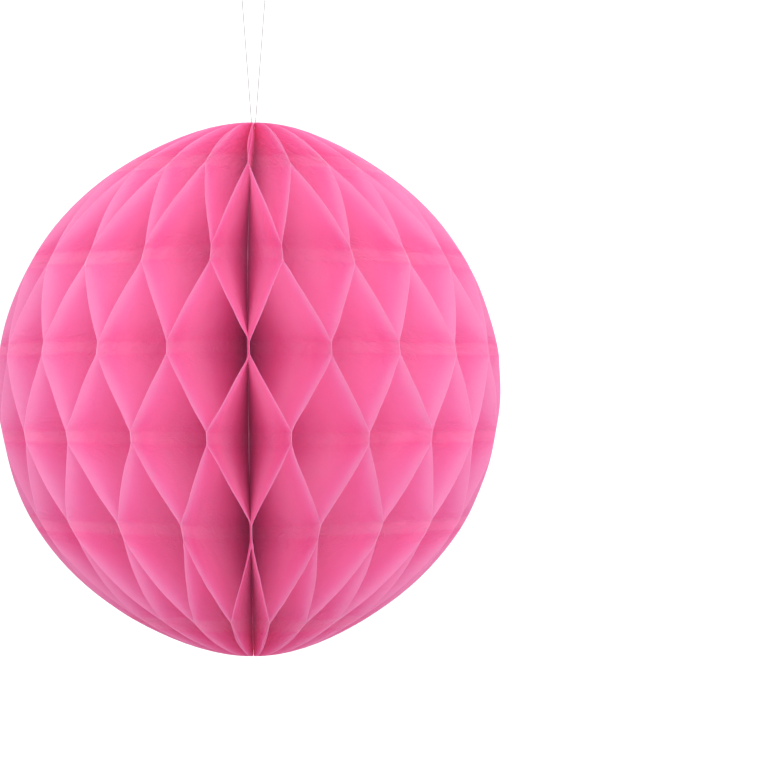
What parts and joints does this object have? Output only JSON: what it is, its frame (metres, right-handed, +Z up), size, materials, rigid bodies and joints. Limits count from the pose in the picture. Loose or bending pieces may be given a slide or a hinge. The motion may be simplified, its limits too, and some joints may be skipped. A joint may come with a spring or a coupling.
{
  "type": "paper honeycomb ball",
  "caption": "Round paper honeycomb ball of pink tissue leaves glued in diamond cells around a spine, hung by a thread loop; it fans shut into a flat half-disc.",
  "frame": {"origin": "inside top of the hanging loop, where a hook carries it; the ball's centre is 0.312 m below", "axes": "+Z up along the ball's spine, +Y towards the closing seam between the two covers, -Y the side seen from the front"},
  "size_m": [0.3752, 0.3752, 0.5127],
  "materials": {
    "tissue": "thin dyed tissue paper, matt and slightly see-through",
    "card": "smooth dyed card, matt",
    "tape": "thin double-sided paper tape",
    "core": "glued paper edges",
    "thread": "twisted white cotton thread"
  },
  "bodies": {
    "spine": {"spine_core": "core", "spine_thread": "thread", "bottom_knot": "thread", "top_knot": "thread", "hanging_loop": "thread", "cover_card_fixed": "card"},
    "moving_cover": {"cover_card_moving": "card", "closing_tape": "tape"},
    "leaf_01": {"tissue_leaf_01": "tissue"},
    "leaf_02": {"tissue_leaf_02": "tissue"},
    "leaf_03": {"tissue_leaf_03": "tissue"},
    "leaf_04": {"tissue_leaf_04": "tissue"},
    "leaf_05": {"tissue_leaf_05": "tissue"},
    "leaf_06": {"tissue_leaf_06": "tissue"},
    "leaf_07": {"tissue_leaf_07": "tissue"},
    "leaf_08": {"tissue_leaf_08": "tissue"},
    "leaf_09": {"tissue_leaf_09": "tissue"},
    "leaf_10": {"tissue_leaf_10": "tissue"},
    "leaf_11": {"tissue_leaf_11": "tissue"},
    "leaf_12": {"tissue_leaf_12": "tissue"},
    "leaf_13": {"tissue_leaf_13": "tissue"},
    "leaf_14": {"tissue_leaf_14": "tissue"},
    "leaf_15": {"tissue_leaf_15": "tissue"},
    "leaf_16": {"tissue_leaf_16": "tissue"},
    "leaf_17": {"tissue_leaf_17": "tissue"},
    "leaf_18": {"tissue_leaf_18": "tissue"},
    "leaf_19": {"tissue_leaf_19": "tissue"},
    "leaf_20": {"tissue_leaf_20": "tissue"},
    "leaf_21": {"tissue_leaf_21": "tissue"},
    "leaf_22": {"tissue_leaf_22": "tissue"},
    "leaf_23": {"tissue_leaf_23": "tissue"},
    "leaf_24": {"tissue_leaf_24": "tissue"},
    "leaf_25": {"tissue_leaf_25": "tissue"},
    "leaf_26": {"tissue_leaf_26": "tissue"},
    "leaf_27": {"tissue_leaf_27": "tissue"},
    "leaf_28": {"tissue_leaf_28": "tissue"},
    "leaf_29": {"tissue_leaf_29": "tissue"},
    "leaf_30": {"tissue_leaf_30": "tissue"},
    "leaf_31": {"tissue_leaf_31": "tissue"},
    "leaf_32": {"tissue_leaf_32": "tissue"},
    "leaf_33": {"tissue_leaf_33": "tissue"},
    "leaf_34": {"tissue_leaf_34": "tissue"},
    "leaf_35": {"tissue_leaf_35": "tissue"},
    "leaf_36": {"tissue_leaf_36": "tissue"},
    "leaf_37": {"tissue_leaf_37": "tissue"},
    "leaf_38": {"tissue_leaf_38": "tissue"},
    "leaf_39": {"tissue_leaf_39": "tissue"},
    "leaf_40": {"tissue_leaf_40": "tissue"}
  },
  "joints": [
    {"name": "fan_opening", "type": "hinge", "parent": "spine", "child": "moving_cover", "pos_m": [0, 0, 0], "axis": [0, 0, 1], "range_deg": [-356, 0]},
    {"name": "leaf_turn_01", "type": "hinge", "parent": "spine", "child": "leaf_01", "pos_m": [0, 0, 0], "axis": [0, 0, 1], "range_deg": [-4.45, 0], "deforming": ["tissue_leaf_01"]},
    {"name": "leaf_turn_02", "type": "hinge", "parent": "spine", "child": "leaf_02", "pos_m": [0, 0, 0], "axis": [0, 0, 1], "range_deg": [-13.35, 0], "deforming": ["tissue_leaf_02"]},
    {"name": "leaf_turn_03", "type": "hinge", "parent": "spine", "child": "leaf_03", "pos_m": [0, 0, 0], "axis": [0, 0, 1], "range_deg": [-22.25, 0], "deforming": ["tissue_leaf_03"]},
    {"name": "leaf_turn_04", "type": "hinge", "parent": "spine", "child": "leaf_04", "pos_m": [0, 0, 0], "axis": [0, 0, 1], "range_deg": [-31.15, 0], "deforming": ["tissue_leaf_04"]},
    {"name": "leaf_turn_05", "type": "hinge", "parent": "spine", "child": "leaf_05", "pos_m": [0, 0, 0], "axis": [0, 0, 1], "range_deg": [-40.05, 0], "deforming": ["tissue_leaf_05"]},
    {"name": "leaf_turn_06", "type": "hinge", "parent": "spine", "child": "leaf_06", "pos_m": [0, 0, 0], "axis": [0, 0, 1], "range_deg": [-48.95, 0], "deforming": ["tissue_leaf_06"]},
    {"name": "leaf_turn_07", "type": "hinge", "parent": "spine", "child": "leaf_07", "pos_m": [0, 0, 0], "axis": [0, 0, 1], "range_deg": [-57.85, 0], "deforming": ["tissue_leaf_07"]},
    {"name": "leaf_turn_08", "type": "hinge", "parent": "spine", "child": "leaf_08", "pos_m": [0, 0, 0], "axis": [0, 0, 1], "range_deg": [-66.75, 0], "deforming": ["tissue_leaf_08"]},
    {"name": "leaf_turn_09", "type": "hinge", "parent": "spine", "child": "leaf_09", "pos_m": [0, 0, 0], "axis": [0, 0, 1], "range_deg": [-75.65, 0], "deforming": ["tissue_leaf_09"]},
    {"name": "leaf_turn_10", "type": "hinge", "parent": "spine", "child": "leaf_10", "pos_m": [0, 0, 0], "axis": [0, 0, 1], "range_deg": [-84.55, 0], "deforming": ["tissue_leaf_10"]},
    {"name": "leaf_turn_11", "type": "hinge", "parent": "spine", "child": "leaf_11", "pos_m": [0, 0, 0], "axis": [0, 0, 1], "range_deg": [-93.45, 0], "deforming": ["tissue_leaf_11"]},
    {"name": "leaf_turn_12", "type": "hinge", "parent": "spine", "child": "leaf_12", "pos_m": [0, 0, 0], "axis": [0, 0, 1], "range_deg": [-102.35, 0], "deforming": ["tissue_leaf_12"]},
    {"name": "leaf_turn_13", "type": "hinge", "parent": "spine", "child": "leaf_13", "pos_m": [0, 0, 0], "axis": [0, 0, 1], "range_deg": [-111.25, 0], "deforming": ["tissue_leaf_13"]},
    {"name": "leaf_turn_14", "type": "hinge", "parent": "spine", "child": "leaf_14", "pos_m": [0, 0, 0], "axis": [0, 0, 1], "range_deg": [-120.15, 0], "deforming": ["tissue_leaf_14"]},
    {"name": "leaf_turn_15", "type": "hinge", "parent": "spine", "child": "leaf_15", "pos_m": [0, 0, 0], "axis": [0, 0, 1], "range_deg": [-129.05, 0], "deforming": ["tissue_leaf_15"]},
    {"name": "leaf_turn_16", "type": "hinge", "parent": "spine", "child": "leaf_16", "pos_m": [0, 0, 0], "axis": [0, 0, 1], "range_deg": [-137.95, 0], "deforming": ["tissue_leaf_16"]},
    {"name": "leaf_turn_17", "type": "hinge", "parent": "spine", "child": "leaf_17", "pos_m": [0, 0, 0], "axis": [0, 0, 1], "range_deg": [-146.85, 0], "deforming": ["tissue_leaf_17"]},
    {"name": "leaf_turn_18", "type": "hinge", "parent": "spine", "child": "leaf_18", "pos_m": [0, 0, 0], "axis": [0, 0, 1], "range_deg": [-155.75, 0], "deforming": ["tissue_leaf_18"]},
    {"name": "leaf_turn_19", "type": "hinge", "parent": "spine", "child": "leaf_19", "pos_m": [0, 0, 0], "axis": [0, 0, 1], "range_deg": [-164.65, 0], "deforming": ["tissue_leaf_19"]},
    {"name": "leaf_turn_20", "type": "hinge", "parent": "spine", "child": "leaf_20", "pos_m": [0, 0, 0], "axis": [0, 0, 1], "range_deg": [-173.55, 0], "deforming": ["tissue_leaf_20"]},
    {"name": "leaf_turn_21", "type": "hinge", "parent": "spine", "child": "leaf_21", "pos_m": [0, 0, 0], "axis": [0, 0, 1], "range_deg": [-182.45, 0], "deforming": ["tissue_leaf_21"]},
    {"name": "leaf_turn_22", "type": "hinge", "parent": "spine", "child": "leaf_22", "pos_m": [0, 0, 0], "axis": [0, 0, 1], "range_deg": [-191.35, 0], "deforming": ["tissue_leaf_22"]},
    {"name": "leaf_turn_23", "type": "hinge", "parent": "spine", "child": "leaf_23", "pos_m": [0, 0, 0], "axis": [0, 0, 1], "range_deg": [-200.25, 0], "deforming": ["tissue_leaf_23"]},
    {"name": "leaf_turn_24", "type": "hinge", "parent": "spine", "child": "leaf_24", "pos_m": [0, 0, 0], "axis": [0, 0, 1], "range_deg": [-209.15, 0], "deforming": ["tissue_leaf_24"]},
    {"name": "leaf_turn_25", "type": "hinge", "parent": "spine", "child": "leaf_25", "pos_m": [0, 0, 0], "axis": [0, 0, 1], "range_deg": [-218.05, 0], "deforming": ["tissue_leaf_25"]},
    {"name": "leaf_turn_26", "type": "hinge", "parent": "spine", "child": "leaf_26", "pos_m": [0, 0, 0], "axis": [0, 0, 1], "range_deg": [-226.95, 0], "deforming": ["tissue_leaf_26"]},
    {"name": "leaf_turn_27", "type": "hinge", "parent": "spine", "child": "leaf_27", "pos_m": [0, 0, 0], "axis": [0, 0, 1], "range_deg": [-235.85, 0], "deforming": ["tissue_leaf_27"]},
    {"name": "leaf_turn_28", "type": "hinge", "parent": "spine", "child": "leaf_28", "pos_m": [0, 0, 0], "axis": [0, 0, 1], "range_deg": [-244.75, 0], "deforming": ["tissue_leaf_28"]},
    {"name": "leaf_turn_29", "type": "hinge", "parent": "spine", "child": "leaf_29", "pos_m": [0, 0, 0], "axis": [0, 0, 1], "range_deg": [-253.65, 0], "deforming": ["tissue_leaf_29"]},
    {"name": "leaf_turn_30", "type": "hinge", "parent": "spine", "child": "leaf_30", "pos_m": [0, 0, 0], "axis": [0, 0, 1], "range_deg": [-262.55, 0], "deforming": ["tissue_leaf_30"]},
    {"name": "leaf_turn_31", "type": "hinge", "parent": "spine", "child": "leaf_31", "pos_m": [0, 0, 0], "axis": [0, 0, 1], "range_deg": [-271.45, 0], "deforming": ["tissue_leaf_31"]},
    {"name": "leaf_turn_32", "type": "hinge", "parent": "spine", "child": "leaf_32", "pos_m": [0, 0, 0], "axis": [0, 0, 1], "range_deg": [-280.35, 0], "deforming": ["tissue_leaf_32"]},
    {"name": "leaf_turn_33", "type": "hinge", "parent": "spine", "child": "leaf_33", "pos_m": [0, 0, 0], "axis": [0, 0, 1], "range_deg": [-289.25, 0], "deforming": ["tissue_leaf_33"]},
    {"name": "leaf_turn_34", "type": "hinge", "parent": "spine", "child": "leaf_34", "pos_m": [0, 0, 0], "axis": [0, 0, 1], "range_deg": [-298.15, 0], "deforming": ["tissue_leaf_34"]},
    {"name": "leaf_turn_35", "type": "hinge", "parent": "spine", "child": "leaf_35", "pos_m": [0, 0, 0], "axis": [0, 0, 1], "range_deg": [-307.05, 0], "deforming": ["tissue_leaf_35"]},
    {"name": "leaf_turn_36", "type": "hinge", "parent": "spine", "child": "leaf_36", "pos_m": [0, 0, 0], "axis": [0, 0, 1], "range_deg": [-315.95, 0], "deforming": ["tissue_leaf_36"]},
    {"name": "leaf_turn_37", "type": "hinge", "parent": "spine", "child": "leaf_37", "pos_m": [0, 0, 0], "axis": [0, 0, 1], "range_deg": [-324.85, 0], "deforming": ["tissue_leaf_37"]},
    {"name": "leaf_turn_38", "type": "hinge", "parent": "spine", "child": "leaf_38", "pos_m": [0, 0, 0], "axis": [0, 0, 1], "range_deg": [-333.75, 0], "deforming": ["tissue_leaf_38"]},
    {"name": "leaf_turn_39", "type": "hinge", "parent": "spine", "child": "leaf_39", "pos_m": [0, 0, 0], "axis": [0, 0, 1], "range_deg": [-342.65, 0], "deforming": ["tissue_leaf_39"]},
    {"name": "leaf_turn_40", "type": "hinge", "parent": "spine", "child": "leaf_40", "pos_m": [0, 0, 0], "axis": [0, 0, 1], "range_deg": [-351.55, 0], "deforming": ["tissue_leaf_40"]}
  ],
  "couplings": [
    {"joint": "leaf_turn_01", "follows": "fan_opening", "ratio": 0.0125},
    {"joint": "leaf_turn_02", "follows": "fan_opening", "ratio": 0.0375},
    {"joint": "leaf_turn_03", "follows": "fan_opening", "ratio": 0.0625},
    {"joint": "leaf_turn_04", "follows": "fan_opening", "ratio": 0.0875},
    {"joint": "leaf_turn_05", "follows": "fan_opening", "ratio": 0.1125},
    {"joint": "leaf_turn_06", "follows": "fan_opening", "ratio": 0.1375},
    {"joint": "leaf_turn_07", "follows": "fan_opening", "ratio": 0.1625},
    {"joint": "leaf_turn_08", "follows": "fan_opening", "ratio": 0.1875},
    {"joint": "leaf_turn_09", "follows": "fan_opening", "ratio": 0.2125},
    {"joint": "leaf_turn_10", "follows": "fan_opening", "ratio": 0.2375},
    {"joint": "leaf_turn_11", "follows": "fan_opening", "ratio": 0.2625},
    {"joint": "leaf_turn_12", "follows": "fan_opening", "ratio": 0.2875},
    {"joint": "leaf_turn_13", "follows": "fan_opening", "ratio": 0.3125},
    {"joint": "leaf_turn_14", "follows": "fan_opening", "ratio": 0.3375},
    {"joint": "leaf_turn_15", "follows": "fan_opening", "ratio": 0.3625},
    {"joint": "leaf_turn_16", "follows": "fan_opening", "ratio": 0.3875},
    {"joint": "leaf_turn_17", "follows": "fan_opening", "ratio": 0.4125},
    {"joint": "leaf_turn_18", "follows": "fan_opening", "ratio": 0.4375},
    {"joint": "leaf_turn_19", "follows": "fan_opening", "ratio": 0.4625},
    {"joint": "leaf_turn_20", "follows": "fan_opening", "ratio": 0.4875},
    {"joint": "leaf_turn_21", "follows": "fan_opening", "ratio": 0.5125},
    {"joint": "leaf_turn_22", "follows": "fan_opening", "ratio": 0.5375},
    {"joint": "leaf_turn_23", "follows": "fan_opening", "ratio": 0.5625},
    {"joint": "leaf_turn_24", "follows": "fan_opening", "ratio": 0.5875},
    {"joint": "leaf_turn_25", "follows": "fan_opening", "ratio": 0.6125},
    {"joint": "leaf_turn_26", "follows": "fan_opening", "ratio": 0.6375},
    {"joint": "leaf_turn_27", "follows": "fan_opening", "ratio": 0.6625},
    {"joint": "leaf_turn_28", "follows": "fan_opening", "ratio": 0.6875},
    {"joint": "leaf_turn_29", "follows": "fan_opening", "ratio": 0.7125},
    {"joint": "leaf_turn_30", "follows": "fan_opening", "ratio": 0.7375},
    {"joint": "leaf_turn_31", "follows": "fan_opening", "ratio": 0.7625},
    {"joint": "leaf_turn_32", "follows": "fan_opening", "ratio": 0.7875},
    {"joint": "leaf_turn_33", "follows": "fan_opening", "ratio": 0.8125},
    {"joint": "leaf_turn_34", "follows": "fan_opening", "ratio": 0.8375},
    {"joint": "leaf_turn_35", "follows": "fan_opening", "ratio": 0.8625},
    {"joint": "leaf_turn_36", "follows": "fan_opening", "ratio": 0.8875},
    {"joint": "leaf_turn_37", "follows": "fan_opening", "ratio": 0.9125},
    {"joint": "leaf_turn_38", "follows": "fan_opening", "ratio": 0.9375},
    {"joint": "leaf_turn_39", "follows": "fan_opening", "ratio": 0.9625},
    {"joint": "leaf_turn_40", "follows": "fan_opening", "ratio": 0.9875}
  ]
}
